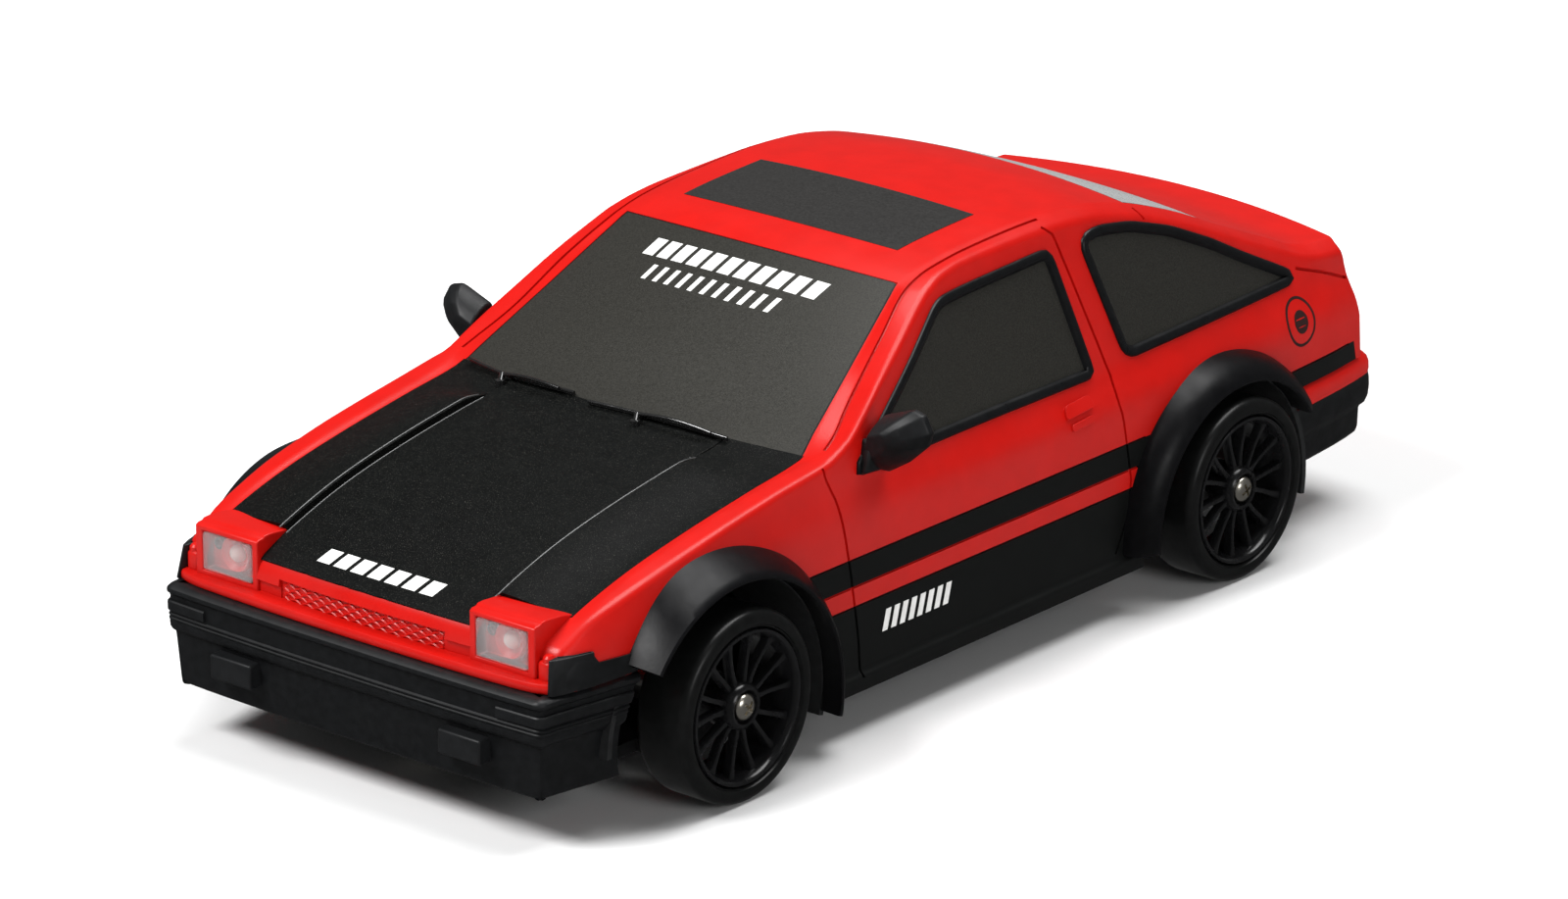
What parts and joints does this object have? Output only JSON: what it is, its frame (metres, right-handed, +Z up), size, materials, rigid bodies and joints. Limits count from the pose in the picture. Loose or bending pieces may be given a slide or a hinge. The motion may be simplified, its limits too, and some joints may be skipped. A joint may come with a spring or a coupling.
{
  "type": "remote control drift car",
  "caption": "Small four-wheel-drive drift car with a coupe body shell, steerable front wheels, shaft drive, battery hatch and power switch.",
  "frame": {"origin": "on the floor, below the middle of the car's length and width", "axes": "-Y towards the nose, +X towards the car's left side, +Z up"},
  "size_m": [0.079, 0.1702, 0.054],
  "materials": {
    "red_shell": "satin moulded ABS, bright red",
    "smoked_window": "dark smoked, fine metallic grain",
    "black_trim": "matte black moulded plastic",
    "chassis_plastic": "matte black nylon",
    "clear_lens": "clear moulded lens",
    "red_lens": "transparent red lens",
    "drift_tyre": "smooth hard slick with a satin sidewall",
    "rim_gloss_black": "gloss black moulded spokes",
    "steel": "zinc-plated steel",
    "brass": "turned brass",
    "gear_plastic": "natural acetal",
    "battery_wrap": "shrink wrap",
    "board_green": "solder mask"
  },
  "bodies": {
    "chassis": {"body_shell": "red_shell", "windscreen": "smoked_window", "hatch_window": "smoked_window", "door_window_left": "smoked_window", "door_window_right": "smoked_window", "quarter_window_left": "smoked_window", "quarter_window_right": "smoked_window", "front_bumper": "black_trim", "rear_bumper": "black_trim", "headlight_lens_left": "clear_lens", "headlight_lens_right": "clear_lens", "headlight_led_left": "clear_lens", "headlight_led_right": "clear_lens", "tail_light_left": "red_lens", "tail_light_right": "red_lens", "mirror_left": "black_trim", "mirror_right": "black_trim", "chassis_tub": "chassis_plastic", "front_gearbox_cover": "chassis_plastic", "rear_gearbox_cover": "chassis_plastic", "rear_bush_left": "brass", "rear_bush_right": "brass", "motor_can": "steel", "servo_case": "chassis_plastic", "battery_pack": "battery_wrap", "circuit_board": "board_green", "power_switch_body": "chassis_plastic", "shell_screw_front": "steel", "shell_screw_rear": "steel"},
    "rear_axle": {"rear_axle_shaft": "steel", "rear_crown_gear": "gear_plastic", "rear_tyre_left": "drift_tyre", "rear_tyre_right": "drift_tyre", "rear_rim_left": "rim_gloss_black", "rear_rim_right": "rim_gloss_black", "rear_wheel_screw_left": "steel", "rear_wheel_screw_right": "steel"},
    "front_axle": {"front_drive_shaft": "steel", "front_crown_gear": "gear_plastic"},
    "drive_line": {"prop_shaft": "steel", "front_pinion": "gear_plastic", "rear_pinion": "gear_plastic", "spur_gear": "gear_plastic"},
    "motor_rotor": {"motor_shaft": "steel", "motor_pinion": "brass"},
    "knuckle_left": {"steering_knuckle_left": "chassis_plastic"},
    "knuckle_right": {"steering_knuckle_right": "chassis_plastic"},
    "front_wheel_left": {"front_stub_axle_left": "steel", "front_rim_left": "rim_gloss_black", "front_tyre_left": "drift_tyre", "front_wheel_screw_left": "steel"},
    "front_wheel_right": {"front_stub_axle_right": "steel", "front_rim_right": "rim_gloss_black", "front_tyre_right": "drift_tyre", "front_wheel_screw_right": "steel"},
    "steering_tie_rod": {"tie_rod": "chassis_plastic"},
    "steering_servo_arm": {"servo_arm": "chassis_plastic"},
    "battery_hatch": {"battery_door": "chassis_plastic"},
    "power_switch": {"power_switch_knob": "chassis_plastic"}
  },
  "joints": [
    {"name": "rear_axle_spin", "type": "hinge", "parent": "chassis", "child": "rear_axle", "pos_m": [0, 0.0455, 0.01225], "axis": [1, 0, 0], "continuous": true},
    {"name": "front_axle_spin", "type": "hinge", "parent": "chassis", "child": "front_axle", "pos_m": [0, -0.0545, 0.01225], "axis": [1, 0, 0], "continuous": true},
    {"name": "prop_shaft_spin", "type": "hinge", "parent": "chassis", "child": "drive_line", "pos_m": [0, 0, 0.01225], "axis": [0, 1, 0], "continuous": true},
    {"name": "motor_spin", "type": "hinge", "parent": "chassis", "child": "motor_rotor", "pos_m": [0.00945, 0.01, 0.01225], "axis": [0, 1, 0], "continuous": true},
    {"name": "steer_left", "type": "hinge", "parent": "chassis", "child": "knuckle_left", "pos_m": [0.026, -0.0545, 0.01225], "axis": [0, 0, 1], "range_deg": [-18, 18]},
    {"name": "steer_right", "type": "hinge", "parent": "chassis", "child": "knuckle_right", "pos_m": [-0.026, -0.0545, 0.01225], "axis": [0, 0, 1], "range_deg": [-18, 18]},
    {"name": "tie_rod_slide", "type": "slide", "parent": "chassis", "child": "steering_tie_rod", "axis": [1, 0, 0], "range_m": [-0.0022, 0.0022]},
    {"name": "servo_arm_turn", "type": "hinge", "parent": "chassis", "child": "steering_servo_arm", "pos_m": [0, -0.0405, 0.0246], "axis": [0, 0, 1], "range_deg": [-18, 18]},
    {"name": "front_wheel_left_spin", "type": "hinge", "parent": "knuckle_left", "child": "front_wheel_left", "pos_m": [0.0345, -0.0545, 0.01225], "axis": [1, 0, 0], "continuous": true},
    {"name": "front_wheel_right_spin", "type": "hinge", "parent": "knuckle_right", "child": "front_wheel_right", "pos_m": [-0.0345, -0.0545, 0.01225], "axis": [1, 0, 0], "continuous": true},
    {"name": "battery_door_swing", "type": "hinge", "parent": "chassis", "child": "battery_hatch", "pos_m": [-0.0165, -0.0234, 0.0041], "axis": [-1, 0, 0], "range_deg": [0, 90]},
    {"name": "power_switch_slide", "type": "slide", "parent": "chassis", "child": "power_switch", "axis": [0, 1, 0], "range_m": [0, 0.0025]}
  ],
  "couplings": [
    {"joint": "front_axle_spin", "follows": "rear_axle_spin", "ratio": 1},
    {"joint": "front_wheel_left_spin", "follows": "rear_axle_spin", "ratio": 1},
    {"joint": "front_wheel_right_spin", "follows": "rear_axle_spin", "ratio": 1},
    {"joint": "prop_shaft_spin", "follows": "rear_axle_spin", "ratio": -2.6667},
    {"joint": "motor_spin", "follows": "rear_axle_spin", "ratio": 6.6667},
    {"joint": "steer_right", "follows": "steer_left", "ratio": 1},
    {"joint": "servo_arm_turn", "follows": "steer_left", "ratio": -1},
    {"joint": "tie_rod_slide", "follows": "steer_left", "m_per_rad": -0.007}
  ]
}
